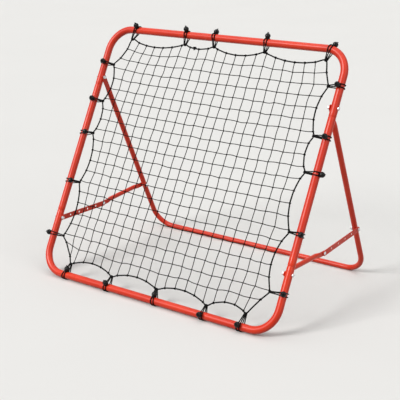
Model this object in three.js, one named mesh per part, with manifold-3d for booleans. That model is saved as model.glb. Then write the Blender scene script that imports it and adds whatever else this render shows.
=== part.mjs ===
import * as THREE from 'three';
import { mergeVertices } from 'three/addons/utils/BufferGeometryUtils.js';
import Module from 'manifold-3d';

// A football rebounder: a net tied into a leaning tube loop, propped by a folding rear frame.
// Millimetres. X runs across, Y from the net's front to the rear frame, Z up.
// The origin is on the ground, at the middle of the whole footprint.

// Main loop, in four pieces of round tube pushed together
const frameWidth = 1000;        // outside
const frameLength = 939;        // outside, up the lean
const frameTube = 25;           // outside diameter
const tubeWall = 1.2;
const cornerRadius = 83;        // at the tube's centre line
const lean = THREE.MathUtils.degToRad(60.8);
const seamHeight = 217;         // from a bar's centre line to the end of its bent legs
const spigotLength = 50;        // reduced end that goes into a bent leg
const hingeAboveSeam = 28.6;    // the hinge bolt, up the top tube's legs
const stayBelowSeam = 24.8;     // the front stay bolt, down the bottom tube's legs

// Rear frame, one bent tube with flattened ends
const rearTube = 19;
const rearSpread = 622.8;       // between the two ground bars, measured on the ground
const rearFootInset = 11;       // legs' centre lines at the ground bar, inside the loop
const rearCornerRadius = 73;
const rearStayHeight = 196.5;   // up the rear leg, from its bar's centre line
const pressedThickness = 3;     // a tube end pressed flat
const rearPressedWidth = 21;
const rearPressedLength = 46;   // flat run below the hinge bolt
const rearTaperLength = 24;     // from the flat run back to the round

// Folding stays: a drilled flat link and a round tube link on each side
const flatLinkLength = 222.5;   // bolt to rivet
const flatLinkWidth = 19;
const flatLinkThickness = 2;
const spareHoleCount = 4;
const staySlack = 0.5027;       // both links' length past the straight line between the bolts
const tubeLinkDiameter = 16;
const linkPressedWidth = 17;
const linkPressedLength = 24;
const linkTaperLength = 22;

// Fasteners
const boltDiameter = 6;
const boltHole = 6.6;
const headAcross = 10;          // across the flats, heads and nuts
const headHeight = 4;
const nutHeight = 5;
const washerDiameter = 12;
const washerHole = 6.6;
const washerThickness = 1.6;
const boltEnd = 1.5;            // thread showing past the nut
const rivetDiameter = 6;
const rivetHead = 12;
const rivetHeadHeight = 2.6;

// Net, its edge rope and the ball ties that hold it
const netCell = 59;
const netTwine = 2.7;
const edgeRope = 5;
const scallopDepth = 0.13;      // share of the span between two ties
const ropeStraight = 7;         // straight run each side of a tie
const tieCord = 3.2;            // elastic cord, stretched
const tieWidth = 6.8;           // two cords side by side, at the rope
const tieSplay = 3.3;           // how much further out each cord lies on the tube
const tieBall = 18.6;

const seat = 0.3;               // clearance between pieces that touch
const tubeSides = 16;
const boreSides = 12;
const arcSteps = 6;

// Each tie: its place along its side (-1 to 1 from the side's middle), how far inside the
// tube's centre line it holds the rope, where its ball sits round the tube (degrees from
// straight outwards towards the front), and how far along the tube it slipped from its hook.
const ties = {
  bottom: [
    [-0.759, 40, 158, -8], [-0.362, 37, 124, -6.5], [0.042, 38, 166, 5],
    [0.467, 32, 88, -2.5], [0.772, 42, 98, -6.5],
  ],
  right: [
    [-0.722, 48, 62, 2], [-0.300, 38, 53, -2], [0.120, 41, 12, 0.5],
    [0.377, 45, 79, -0.5], [0.735, 42, 93, 3.5],
  ],
  top: [
    [-0.845, 37, -26, -2], [-0.367, 32, 16, 1], [0.057, 32, -8, 6],
    [0.312, 34, 44, 1], [0.804, 34, 60, -11.5],
  ],
  left: [
    [-0.701, 42, 106, -3.5], [-0.395, 42, 105, -1], [-0.129, 41, 135, 4.5],
    [0.275, 46, 137, 2.5], [0.714, 45, 12, 0],
  ],
};

const wasm = await Module();
wasm.setup();

// ---- Shared values worked out from the sizes above

const loopWidth = frameWidth - frameTube;
const loopLength = frameLength - frameTube;
const frameRadius = frameTube / 2;
const rearRadius = rearTube / 2;
const tieInner = frameRadius + seat;
const tieOuter = tieInner + tieCord;
const barHeight = tieOuter;     // the bottom bar stands on its ties

const bottomBar = new THREE.Vector2(0, barHeight);
const upFrame = new THREE.Vector2(Math.cos(lean), Math.sin(lean));
const hingeHeight = loopLength - seamHeight + hingeAboveSeam;
const frontStayHeight = seamHeight - stayBelowSeam;
const hinge = bottomBar.clone().addScaledVector(upFrame, hingeHeight);
const frontStay = bottomBar.clone().addScaledVector(upFrame, frontStayHeight);
// One flat of the rear bar's section rests on the ground.
const rearBar = new THREE.Vector2(rearSpread, rearRadius * Math.cos(Math.PI / tubeSides));
const rearLength = hinge.distanceTo(rearBar);
const upRear = hinge.clone().sub(rearBar).normalize();
const rearLean = upRear.angle();
const rearStay = rearBar.clone().addScaledVector(upRear, rearStayHeight);

const innerFace = loopWidth / 2 - frameRadius;             // of the side tubes
const rearTopX = innerFace - seat - pressedThickness / 2;  // middle of the flattened ends
const rearFootX = innerFace - rearFootInset;
const rearStayX = THREE.MathUtils.lerp(rearFootX, rearTopX, rearStayHeight / rearLength);
const rearOuterFace = rearStayX + rearRadius;              // of the leg, at the stay bolt

const tubeLinkLength = frontStay.distanceTo(rearStay) + staySlack - flatLinkLength;
const spareHolePitch = flatLinkLength / (spareHoleCount + 1);

// ---- Materials

const redPaint = { color: 0xc9301f, roughness: 0.35, metalness: 0.1 };
const zinc = { color: 0xc9ccd0, roughness: 0.35, metalness: 1 };
const blackTwine = { color: 0x111412, roughness: 0.85, metalness: 0 };
const blackElastic = { color: 0x0d0d0e, roughness: 0.6, metalness: 0 };

function addMesh(parent, name, geometry, finish) {
  const mesh = new THREE.Mesh(geometry, new THREE.MeshStandardMaterial(finish));
  mesh.name = name;
  parent.add(mesh);
  return mesh;
}

// ---- Solids

function toSolid(geometry) {
  const bare = geometry.clone();
  bare.deleteAttribute('normal');
  bare.deleteAttribute('uv');
  const merged = mergeVertices(bare, 1e-4);
  return new wasm.Manifold(new wasm.Mesh({
    numProp: 3,
    vertProperties: Float32Array.from(merged.attributes.position.array),
    triVerts: Uint32Array.from(merged.index.array),
  }));
}

function toGeometry(solid) {
  const mesh = solid.asOriginal().simplify(1e-3).getMesh();
  const geometry = new THREE.BufferGeometry();
  geometry.setAttribute('position', new THREE.BufferAttribute(mesh.vertProperties, 3));
  geometry.setIndex(new THREE.BufferAttribute(mesh.triVerts, 1));
  return geometry;
}

// Takes each cutter geometry out of the first one.
function cut(geometry, cutters) {
  return toGeometry(cutters.reduce((rest, cutter) => rest.subtract(toSolid(cutter)), toSolid(geometry)));
}

// Joins rings of points into one closed body. Each ring runs anticlockwise as seen from
// behind the first ring; a closed body has no ends.
function skin(rings, closed = false) {
  const count = rings[0].length;
  const positions = rings.flat().flatMap((point) => [point.x, point.y, point.z]);
  const index = [];
  const links = closed ? rings.length : rings.length - 1;
  for (let i = 0; i < links; i += 1) {
    const here = i * count;
    const next = ((i + 1) % rings.length) * count;
    for (let j = 0; j < count; j += 1) {
      const k = (j + 1) % count;
      index.push(here + j, next + j, here + k);
      index.push(here + k, next + j, next + k);
    }
  }
  if (!closed) {
    const last = (rings.length - 1) * count;
    for (let j = 1; j < count - 1; j += 1) {
      index.push(0, j, j + 1);
      index.push(last, last + j + 1, last + j);
    }
  }
  const geometry = new THREE.BufferGeometry();
  geometry.setAttribute('position', new THREE.Float32BufferAttribute(positions, 3));
  geometry.setIndex(index);
  return geometry;
}

// A bolt hole's cutter: a cylinder along X through the given place.
function drill(diameter, x, y, length) {
  const cutter = new THREE.CylinderGeometry(diameter / 2, diameter / 2, length, 10);
  cutter.rotateZ(Math.PI / 2);
  cutter.translate(x, y, 0);
  return cutter;
}

// ---- Tubes

// Stations of a bent tube's centre line: straight runs joined by arcs, in the XY plane.
function bentPath(corners, radius) {
  const heading = (i) => corners[i + 1].clone().sub(corners[i]).normalize();
  const stations = [{ point: corners[0], along: heading(0) }];
  for (let i = 1; i < corners.length - 1; i += 1) {
    const into = heading(i - 1);
    const turn = Math.atan2(into.cross(heading(i)), into.dot(heading(i)));
    const inward = new THREE.Vector2(-into.y, into.x).multiplyScalar(Math.sign(turn));
    const start = corners[i].clone().addScaledVector(into, -radius * Math.tan(Math.abs(turn) / 2));
    const centre = start.clone().addScaledVector(inward, radius);
    for (let step = 0; step <= arcSteps; step += 1) {
      const angle = (turn * step) / arcSteps;
      stations.push({
        point: start.clone().rotateAround(centre, angle),
        along: into.clone().rotateAround(new THREE.Vector2(), angle),
      });
    }
  }
  const end = corners.length - 1;
  stations.push({ point: corners[end], along: heading(end - 1) });
  return stations;
}

// A ring square to the path; each section point is [outwards in the plane, out of the plane].
function ringAt({ point, along }, section) {
  return section.map(([side, up]) => (
    new THREE.Vector3(point.x + along.y * side, point.y - along.x * side, up)));
}

function roundSection(radius, sides, facet = 0) {
  return Array.from({ length: sides }, (_, i) => {
    const angle = facet + ((i + 0.5) * 2 * Math.PI) / sides;
    return [radius * Math.cos(angle), radius * Math.sin(angle)];
  });
}

// A round section pressed towards a flat one. press goes from 0, round, to 1, flat;
// offset is where the round part's middle lies from the flat part's middle.
function pressedSection({ radius, thickness, width, offset, facet, sides }, press, widthShare) {
  return roundSection(1, sides, facet).map(([side, up]) => [
    (1 - press) * (radius * side + offset) + press * Math.sign(side) * thickness / 2,
    (1 - press) * radius * up + press * up * (width / 2) * widthShare,
  ]);
}

// The same tube's bore.
function boreOf(form) {
  return {
    ...form,
    radius: form.radius - tubeWall,
    thickness: form.thickness - 2 * tubeWall,
    width: form.width - 2 * tubeWall,
    sides: boreSides,
  };
}

// How a pressed end runs: distance past the bolt, how far pressed, and share of full width.
function pressedEnd(form, flatLength, taperLength, isBore) {
  const nose = isBore ? [[form.width, 1, 1]] : [75, 50, 25].map((degrees) => {
    const angle = THREE.MathUtils.degToRad(degrees);
    return [(form.width / 2) * Math.sin(angle), 1, Math.cos(angle)];
  });
  return [...nose, [0, 1, 1], [-flatLength, 1, 1], [-flatLength - taperLength, 0, 1]];
}

function bentFrameTube(legLength) {
  const half = loopWidth / 2;
  const corners = [[-half, legLength], [-half, 0], [half, 0], [half, legLength]];
  const path = bentPath(corners.map(([x, y]) => new THREE.Vector2(x, y)), cornerRadius);
  const outside = skin(path.map((station) => ringAt(station, roundSection(frameRadius, tubeSides))));
  const bore = roundSection(frameRadius - tubeWall, tubeSides);
  const inside = path.map((station, i) => {
    const past = i === 0 ? -1 : Number(i === path.length - 1);   // 1 mm through each end
    const point = station.point.clone().addScaledVector(station.along, past);
    return ringAt({ point, along: station.along }, bore);
  });
  return cut(outside, [skin(inside)]);
}

function withSideHoles(geometry, y) {
  const length = frameTube * 2;
  return cut(geometry, [
    drill(boltHole, -loopWidth / 2, y, length),
    drill(boltHole, loopWidth / 2, y, length),
  ]);
}

// A straight side tube with a reduced spigot at each end, along Y from seam to seam.
function sideTube() {
  const low = seamHeight + seat;
  const high = loopLength - seamHeight - seat;
  const spigot = frameRadius - tubeWall - seat;
  const narrow = spigot - tubeWall;
  const bore = frameRadius - tubeWall;
  const shoulder = 2 * tubeWall;
  const profile = [
    [narrow, low - spigotLength], [spigot, low - spigotLength], [spigot, low], [frameRadius, low],
    [frameRadius, high], [spigot, high], [spigot, high + spigotLength],
    [narrow, high + spigotLength], [narrow, high - shoulder], [bore, high - 2 * shoulder],
    [bore, low + 2 * shoulder], [narrow, low + shoulder], [narrow, low - spigotLength],
  ];
  const lathe = new THREE.LatheGeometry(profile.map(([r, y]) => new THREE.Vector2(r, y)), tubeSides);
  lathe.rotateY(Math.PI / tubeSides);   // its flats in line with the bent tubes'
  return cut(lathe, [
    drill(boltHole, 0, frontStayHeight, frameTube * 2),
    drill(boltHole, 0, hingeHeight, frameTube * 2),
  ]);
}

function rearFrameTube() {
  const form = {
    radius: rearRadius,
    thickness: pressedThickness,
    width: rearPressedWidth,
    offset: 0,
    facet: rearLean - Math.PI / 2,
    sides: tubeSides,
  };
  const corners = [
    [-rearTopX, rearLength], [-rearFootX, 0], [rearFootX, 0], [rearTopX, rearLength],
  ].map(([x, y]) => new THREE.Vector2(x, y));
  const path = bentPath(corners, rearCornerRadius);
  const surface = (shape, isBore) => {
    const ends = pressedEnd(shape, rearPressedLength, rearTaperLength, isBore);
    const ringsOf = (station, steps, direction) => steps.map(([past, press, share]) => ringAt(
      { point: station.point.clone().addScaledVector(station.along, past * direction), along: station.along },
      pressedSection(shape, press, share),
    ));
    const plain = path.slice(1, -1).map((station) => ringAt(station, pressedSection(shape, 0, 1)));
    return skin([
      ...ringsOf(path[0], ends, -1),
      ...plain,
      ...ringsOf(path[path.length - 1], [...ends].reverse(), 1),
    ]);
  };
  const drills = [-1, 1].flatMap((side) => [
    drill(boltHole, side * rearTopX, rearLength, rearTube * 2),
    drill(boltHole, side * rearStayX, rearStayHeight, rearTube * 2),
  ]);
  return cut(surface(form, false), [surface(boreOf(form), true), ...drills]);
}

// ---- Stay links. Both lie along Y from their bolt, at the origin, to the rivet, with
// their mating face at X = 0 and their body on the +X side.

function flatLink() {
  const outline = new THREE.Shape();
  const half = flatLinkWidth / 2;
  outline.absarc(0, 0, half, Math.PI, 2 * Math.PI);
  outline.absarc(0, flatLinkLength, half, 0, Math.PI);
  const holeAt = (y, diameter) => {
    const hole = new THREE.Path();
    hole.absarc(0, y, diameter / 2, 0, 2 * Math.PI, true);
    outline.holes.push(hole);
  };
  for (let i = 0; i <= spareHoleCount; i += 1) {
    holeAt(i * spareHolePitch, boltHole);
  }
  holeAt(flatLinkLength, rivetDiameter + 2 * seat);
  const plate = new THREE.ExtrudeGeometry(outline, {
    depth: flatLinkThickness, bevelEnabled: false, curveSegments: 6,
  });
  plate.rotateY(Math.PI / 2);
  return toGeometry(toSolid(plate));
}

function tubeLink() {
  const form = {
    radius: tubeLinkDiameter / 2,
    thickness: pressedThickness,
    width: linkPressedWidth,
    offset: (tubeLinkDiameter - pressedThickness) / 2,
    facet: 0,
    sides: 12,
  };
  const path = new THREE.Vector2(0, 1);
  const surface = (shape, isBore) => {
    const ends = pressedEnd(shape, linkPressedLength, linkTaperLength, isBore);
    const ringFor = (y, press, share) => ringAt(
      { point: new THREE.Vector2(pressedThickness / 2, y), along: path },
      pressedSection(shape, press, share),
    );
    return skin([
      ...ends.map(([past, press, share]) => ringFor(-past, press, share)),
      ...[...ends].reverse().map(([past, press, share]) => ringFor(tubeLinkLength + past, press, share)),
    ]);
  };
  return cut(surface(form, false), [
    surface(boreOf(form), true),
    drill(boltHole, 0, 0, tubeLinkDiameter * 3),
    drill(rivetDiameter + 2 * seat, 0, tubeLinkLength, tubeLinkDiameter * 3),
  ]);
}

// ---- Fasteners, along X with the head's underside at X = 0 and the shank on the -X side

function hexPrism(height) {
  const prism = new THREE.CylinderGeometry(headAcross / Math.sqrt(3), headAcross / Math.sqrt(3), height, 6);
  prism.rotateZ(Math.PI / 2);
  return prism;
}

function bolt(length) {
  const head = hexPrism(headHeight);
  head.translate(headHeight / 2, 0, 0);
  const overlap = headHeight / 2;
  const shank = new THREE.CylinderGeometry(boltDiameter / 2, boltDiameter / 2, length + overlap, 10);
  shank.rotateZ(Math.PI / 2);
  shank.translate((overlap - length) / 2, 0, 0);
  return toGeometry(toSolid(head).add(toSolid(shank)));
}

function nut() {
  const prism = hexPrism(nutHeight);
  return cut(prism, [drill(boltHole, 0, 0, nutHeight * 2)]);
}

function washer() {
  const inner = washerHole / 2;
  const outer = washerDiameter / 2;
  const half = washerThickness / 2;
  const profile = [[inner, -half], [outer, -half], [outer, half], [inner, half], [inner, -half]];
  const ring = new THREE.LatheGeometry(profile.map(([r, y]) => new THREE.Vector2(r, y)), 10);
  ring.rotateZ(Math.PI / 2);
  return toGeometry(toSolid(ring));
}

// A domed rivet head with a shank of the given length below it.
function rivet(length) {
  const dome = [[1, 0], [0.88, 0.55], [0.5, 0.9], [0, 1]];
  const profile = [
    [0, -length], [rivetDiameter / 2, -length], [rivetDiameter / 2, 0],
    ...dome.map(([r, y]) => [(r * rivetHead) / 2, y * rivetHeadHeight]),
  ];
  const lathe = new THREE.LatheGeometry(profile.map(([r, y]) => new THREE.Vector2(r, y)), 10);
  lathe.rotateZ(-Math.PI / 2);
  return toGeometry(toSolid(lathe));
}

// ---- Ball ties

const loopStep = THREE.MathUtils.degToRad(28);
const loopSteps = 6;
const ropeInner = edgeRope / 2 + seat;
const ropeCorner = Math.PI / 3;
const loopWrap = THREE.MathUtils.degToRad(100);   // how far each way a tie lies on its tube

// A tie round a tube that runs along Y through the origin: out is +X, front is +Z, and the
// rope runs along Y, reach inside the tube's centre. One flat of the loop faces flatAngle.
// From the rope to the tube the two cords part and slip along.
function ballTie({ reach, ballAngle, slip }, flatAngle) {
  const towardsTube = (x) => Math.max(0, (x + reach) / reach);
  const corners = [];
  for (let k = -loopSteps; k < loopSteps; k += 1) {
    const angle = flatAngle + (k + 0.5) * loopStep;
    if (Math.abs(angle) < loopWrap) {
      corners.push({ angle, centre: 0, grow: 1 / Math.cos(loopStep / 2), inner: tieInner });
    }
  }
  for (const turn of [-ropeCorner, 0, ropeCorner]) {
    corners.push({
      angle: Math.PI + turn, centre: -reach, grow: 1 / Math.cos(ropeCorner / 2), inner: ropeInner,
    });
  }
  const rings = corners.map(({ angle, centre, grow, inner }) => {
    const at = (radius, edge) => {
      const x = centre + radius * grow * Math.cos(angle);
      const half = tieWidth / 2 + tieSplay * Math.min(1, towardsTube(x));
      return new THREE.Vector3(x, edge * half + slip * towardsTube(x), radius * grow * Math.sin(angle));
    };
    return [at(inner, 1), at(inner + tieCord, 1), at(inner + tieCord, -1), at(inner, -1)];
  });
  const ball = new THREE.SphereGeometry(tieBall / 2, 8, 6);
  const ballRadius = tieInner + seat + tieBall / 2;
  const turn = THREE.MathUtils.degToRad(ballAngle);
  const ballX = ballRadius * Math.cos(turn);
  ball.translate(ballX, slip * towardsTube(ballX), ballRadius * Math.sin(turn));
  return toGeometry(toSolid(skin(rings, true)).add(toSolid(ball)));
}

// Where each tie holds the rope, anticlockwise round the loop, as seen from the front.
function tiePlaces() {
  const halfWidth = loopWidth / 2;
  const halfLength = loopLength / 2;
  const middle = new THREE.Vector2(0, halfLength);
  const sides = {
    bottom: { out: [0, -1], half: halfWidth, away: halfLength },
    right: { out: [1, 0], half: halfLength, away: halfWidth },
    top: { out: [0, 1], half: halfWidth, away: halfLength },
    left: { out: [-1, 0], half: halfLength, away: halfWidth },
  };
  return Object.entries(ties).flatMap(([side, list]) => {
    const { out, half, away } = sides[side];
    const outward = new THREE.Vector2(...out);
    const along = new THREE.Vector2(-outward.y, outward.x);
    const straight = half - cornerRadius;
    return list.map(([share, reach, ballAngle, slip], i) => {
      const place = share * half;
      // On a straight run the tie is square to the side; past it the tie follows the bend.
      const past = Math.max(0, Math.abs(place) - straight) * Math.sign(place);
      const bend = Math.atan2(past, cornerRadius - reach);
      const direction = outward.clone().rotateAround(new THREE.Vector2(), bend);
      const tangent = along.clone().rotateAround(new THREE.Vector2(), bend);
      const tube = middle.clone()
        .addScaledVector(outward, away - cornerRadius)
        .addScaledVector(along, place - past)
        .addScaledVector(direction, cornerRadius);
      const hook = tube.clone().addScaledVector(direction, -reach);
      const name = `${side}_tie_${i + 1}`;
      return { name, side, tube, hook, tangent, direction, reach, ballAngle, slip };
    });
  });
}

// ---- Net and edge rope

// The rope's stations: straight through each tie, then a scallop to the next one.
function ropePath(places) {
  const points = places.flatMap((place, i) => {
    const next = places[(i + 1) % places.length];
    const from = place.hook.clone().addScaledVector(place.tangent, ropeStraight);
    const to = next.hook.clone().addScaledVector(next.tangent, -ropeStraight);
    const chord = to.clone().sub(from);
    const inward = new THREE.Vector2(-chord.y, chord.x).multiplyScalar(scallopDepth);
    const onScallop = (t) => from.clone()
      .addScaledVector(chord, t)
      .addScaledVector(inward, 4 * t * (1 - t));
    return [from, onScallop(1 / 3), onScallop(2 / 3), to];
  });
  return points.map((point, i) => {
    const before = points[(i + points.length - 1) % points.length];
    const after = points[(i + 1) % points.length];
    const into = point.clone().sub(before).normalize();
    const away = after.clone().sub(point).normalize();
    const along = into.clone().add(away).normalize();
    return { point, along, mitre: 1 / along.dot(into) };
  });
}

function edgeRopeGeometry(path) {
  return skin(path.map(({ point, along, mitre }) => ringAt(
    { point, along },
    roundSection(edgeRope / 2, 8).map(([side, up]) => [side * mitre, up]),
  )), true);
}

function netGeometry(path, hooks) {
  const inset = edgeRope / 2 + seat;
  const rim = path.map(({ point, along, mitre }) => (
    point.clone().add(new THREE.Vector2(-along.y, along.x).multiplyScalar(inset * mitre))));
  const depth = 3 * netTwine;
  const inside = new THREE.ExtrudeGeometry(new THREE.Shape(rim), { depth, bevelEnabled: false });
  inside.translate(0, 0, -depth / 2);

  const across = Math.floor(loopWidth / netCell);
  const upward = Math.floor(loopLength / netCell);
  const twine = (width, length, x, y) => {
    const bar = new THREE.BoxGeometry(width, length, netTwine);
    bar.translate(x, y, 0);
    return toSolid(bar);
  };
  const bars = [
    ...Array.from({ length: across + 1 }, (_, i) => (
      twine(netTwine, loopLength, (i - across / 2) * netCell, loopLength / 2))),
    ...Array.from({ length: upward + 1 }, (_, i) => (
      twine(loopWidth, netTwine, 0, loopLength / 2 + (i - upward / 2) * netCell))),
  ];
  const lattice = bars.reduce((rest, bar) => rest.add(bar));
  const lobe = Math.hypot((ropeInner + tieCord) / Math.cos(ropeCorner / 2), tieWidth / 2) + seat;
  const clearings = hooks.map(({ hook }) => {
    const clearing = new THREE.CylinderGeometry(lobe, lobe, depth, 10);
    clearing.rotateX(Math.PI / 2);
    clearing.translate(hook.x, hook.y, 0);
    return toSolid(clearing);
  });
  const trimmed = clearings.reduce(
    (rest, clearing) => rest.subtract(clearing), lattice.intersect(toSolid(inside)));
  const pieces = trimmed.decompose();
  pieces.sort((a, b) => b.volume() - a.volume());
  return toGeometry(pieces[0]);
}

// ---- Assembly

const rebounder = new THREE.Group();

// The main loop lies in this group's XY plane, Y up the lean and Z towards the front.
const panel = new THREE.Group();
panel.position.set(0, bottomBar.x, bottomBar.y);
panel.rotation.x = lean;
rebounder.add(panel);

addMesh(panel, 'bottom_u_tube', withSideHoles(bentFrameTube(seamHeight), frontStayHeight), redPaint);
const topTube = addMesh(panel, 'top_u_tube',
  withSideHoles(bentFrameTube(seamHeight), loopLength - hingeHeight), redPaint);
topTube.position.y = loopLength;
topTube.rotation.z = Math.PI;
for (const [name, side] of [['left', -1], ['right', 1]]) {
  addMesh(panel, `${name}_side_tube`, sideTube(), redPaint).position.x = side * loopWidth / 2;
}

const places = tiePlaces();
const rope = ropePath(places);
addMesh(panel, 'net', netGeometry(rope, places), blackTwine);
addMesh(panel, 'net_edge_rope', edgeRopeGeometry(rope), blackTwine);
for (const place of places) {
  const flatAngle = place.side === 'bottom' ? lean - Math.PI / 2 : 0;
  const tie = addMesh(panel, place.name, ballTie(place, flatAngle), blackElastic);
  tie.position.set(place.tube.x, place.tube.y, 0);
  tie.rotation.z = place.direction.angle();
}

// The rear frame lies in its group's XY plane, Y up the legs.
const prop = new THREE.Group();
prop.position.set(0, rearBar.x, rearBar.y);
prop.rotation.x = rearLean;
rebounder.add(prop);
addMesh(prop, 'rear_frame_tube', rearFrameTube(), redPaint);

// Turns a link or a rivet so that its Y axis runs from one pivot to the other and its X
// axis points to the left of the object.
function layAlong(mesh, from, to) {
  const along = to.clone().sub(from).normalize();
  const sideways = new THREE.Vector3(-1, 0, 0).addScaledVector(along, along.x).normalize();
  mesh.position.copy(from);
  mesh.quaternion.setFromRotationMatrix(
    new THREE.Matrix4().makeBasis(sideways, along, sideways.clone().cross(along)));
}

const at = (x, pivot) => new THREE.Vector3(x, pivot.x, pivot.y);

// The rivet's place: the lower meeting point of the two links.
function rivetPlace(frontLength, rearLinkLength) {
  const chord = rearStay.clone().sub(frontStay);
  const reach = chord.length();
  const alongChord = (frontLength ** 2 - rearLinkLength ** 2 + reach ** 2) / (2 * reach);
  const drop = Math.sqrt(frontLength ** 2 - alongChord ** 2);
  chord.normalize();
  return frontStay.clone()
    .addScaledVector(chord, alongChord)
    .add(new THREE.Vector2(chord.y, -chord.x).multiplyScalar(drop));
}

// Both stays have the flat link on the right of the tube link. On the left the flat link is
// in front, on the right it is behind.
function addStay(name, flatFrom, tubeFrom, rivetAt, flatFace, tubeFaceAtBolt) {
  const tubeFaceAtRivet = flatFace - flatLinkThickness - seat;
  layAlong(addMesh(rebounder, `${name}_stay_flat_link`, flatLink(), redPaint),
    at(flatFace, flatFrom), at(flatFace, rivetAt));
  layAlong(addMesh(rebounder, `${name}_stay_tube_link`, tubeLink(), redPaint),
    at(tubeFaceAtBolt, tubeFrom), at(tubeFaceAtRivet, rivetAt));
  // The rivet's shank stops inside each link, so that the two can be told apart.
  const head = addMesh(rebounder, `${name}_stay_rivet`, rivet(seat + flatLinkThickness - seat / 2), zinc);
  head.position.copy(at(flatFace + seat, rivetAt));
  const tail = addMesh(rebounder, `${name}_stay_rivet_tail`, rivet(seat + pressedThickness - seat / 2), zinc);
  tail.position.copy(at(tubeFaceAtRivet - pressedThickness - seat, rivetAt));
  tail.rotation.y = Math.PI;
}

addStay('left', frontStay, rearStay, rivetPlace(flatLinkLength, tubeLinkLength),
  -(innerFace - seat - flatLinkThickness), -(rearOuterFace + seat));
addStay('right', rearStay, frontStay, rivetPlace(tubeLinkLength, flatLinkLength),
  rearOuterFace + seat + flatLinkThickness, innerFace - seat);

// A bolt with its head outside, a washer and a nut inside, through what lies between.
function addFastener(name, side, pivot, outerFace, innerFaceOfStack) {
  const outside = outerFace + seat;
  const washerX = innerFaceOfStack - seat - washerThickness / 2;
  const nutX = washerX - washerThickness / 2 - seat - nutHeight / 2;
  const tip = nutX - nutHeight / 2 - boltEnd;
  const pieces = [
    ['bolt', bolt(outside - tip), outside], ['washer', washer(), washerX], ['nut', nut(), nutX],
  ];
  for (const [kind, geometry, x] of pieces) {
    const mesh = addMesh(rebounder, `${name}_${kind}`, geometry, zinc);
    mesh.position.copy(at(side * x, pivot));
    mesh.rotation.z = side > 0 ? 0 : Math.PI;
  }
}

const hingeInside = innerFace - seat - pressedThickness;
const rearInside = rearStayX - rearRadius;
addFastener('left_hinge', -1, hinge, frameWidth / 2, hingeInside);
addFastener('right_hinge', 1, hinge, frameWidth / 2, hingeInside);
addFastener('left_front_stay', -1, frontStay, frameWidth / 2, innerFace - seat - flatLinkThickness);
addFastener('right_front_stay', 1, frontStay, frameWidth / 2, innerFace - seat - pressedThickness);
addFastener('left_rear_stay', -1, rearStay, rearOuterFace + seat + pressedThickness, rearInside);
addFastener('right_rear_stay', 1, rearStay, rearOuterFace + seat + flatLinkThickness, rearInside);

// Centre the footprint on the origin.
const bounds = new THREE.Box3().setFromObject(rebounder, true);
const centre = bounds.getCenter(new THREE.Vector3());
rebounder.position.set(-centre.x, -centre.y, -bounds.min.z);

const group = new THREE.Group();
group.add(rebounder);
export default group;
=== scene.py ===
import math
import random

import bpy
import numpy as np
from mathutils import Matrix, Vector


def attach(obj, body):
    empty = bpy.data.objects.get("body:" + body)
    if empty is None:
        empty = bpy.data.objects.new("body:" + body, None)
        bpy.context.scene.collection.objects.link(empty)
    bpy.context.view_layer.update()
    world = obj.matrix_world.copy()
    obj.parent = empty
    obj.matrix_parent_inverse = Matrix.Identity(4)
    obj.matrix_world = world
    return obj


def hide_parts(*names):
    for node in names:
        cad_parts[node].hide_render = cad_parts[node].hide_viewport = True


# A football rebounder: net, edge rope and ball ties in a leaning loop of red tube,
# with a folding rear frame. Sizes are in millimetres until a mesh is made.

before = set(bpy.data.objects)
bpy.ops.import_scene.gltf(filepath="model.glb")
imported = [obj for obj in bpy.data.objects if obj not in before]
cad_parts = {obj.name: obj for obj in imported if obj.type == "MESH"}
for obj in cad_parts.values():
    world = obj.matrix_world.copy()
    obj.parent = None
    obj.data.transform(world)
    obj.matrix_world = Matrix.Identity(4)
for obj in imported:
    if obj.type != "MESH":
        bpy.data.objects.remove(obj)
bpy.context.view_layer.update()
print("frame loaded")

camera = {
    "place": (1990.2, -2602.0, 1359.2),
    "yaw": -37.49,      # degrees, from straight along +Y, negative to the left
    "pitch": -18.27,
    "roll": -1.43,
    "lens": 90,
    "sensor": 36,
}


def addObject(name, data):
    made = bpy.data.objects.new(name, data)
    bpy.context.scene.collection.objects.link(made)
    return made


def placeCamera():
    yaw, pitch, roll = (math.radians(camera[key]) for key in ("yaw", "pitch", "roll"))
    forward = Vector((
        math.sin(yaw) * math.cos(pitch), math.cos(yaw) * math.cos(pitch), math.sin(pitch)))
    level = Vector((math.cos(yaw), -math.sin(yaw), 0))
    upward = level.cross(forward)
    sideways = level * math.cos(roll) + upward * math.sin(roll)
    upright = upward * math.cos(roll) - level * math.sin(roll)
    data = bpy.data.cameras.new("camera")
    data.lens = camera["lens"]
    data.sensor_width = camera["sensor"]
    data.clip_end = 100
    body = addObject("camera", data)
    turn = Matrix((sideways, upright, -forward)).transposed().to_4x4()
    body.matrix_world = Matrix.Translation(Vector(camera["place"]) / 1000) @ turn
    bpy.context.scene.camera = body


placeCamera()
print("camera placed")


def linear(hexColour):      # sRGB hex to the linear values that the shader takes
    values = [int(hexColour[i:i + 2], 16) / 255 for i in (1, 3, 5)]
    return [v / 12.92 if v <= 0.04045 else ((v + 0.055) / 1.055) ** 2.4 for v in values] + [1]


def plug(tree, node, inputs):       # an input is a value, a hex colour or a socket to link
    for key, value in inputs.items():
        if isinstance(value, bpy.types.NodeSocket):
            tree.links.new(value, node.inputs[key])
        else:
            node.inputs[key].default_value = linear(value) if isinstance(value, str) else value


def addNode(tree, kind, inputs=None, **settings):
    node = tree.nodes.new(f"ShaderNode{kind}")
    for key, value in settings.items():
        setattr(node, key, value)
    plug(tree, node, inputs or {})
    return node


def newFinish(name, inputs):
    finish = bpy.data.materials.new(name)
    finish.use_nodes = True
    tree = finish.node_tree
    shader = tree.nodes["Principled BSDF"]
    plug(tree, shader, inputs)
    return finish, tree, shader, addNode(tree, "TexCoord").outputs["Object"]


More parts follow.
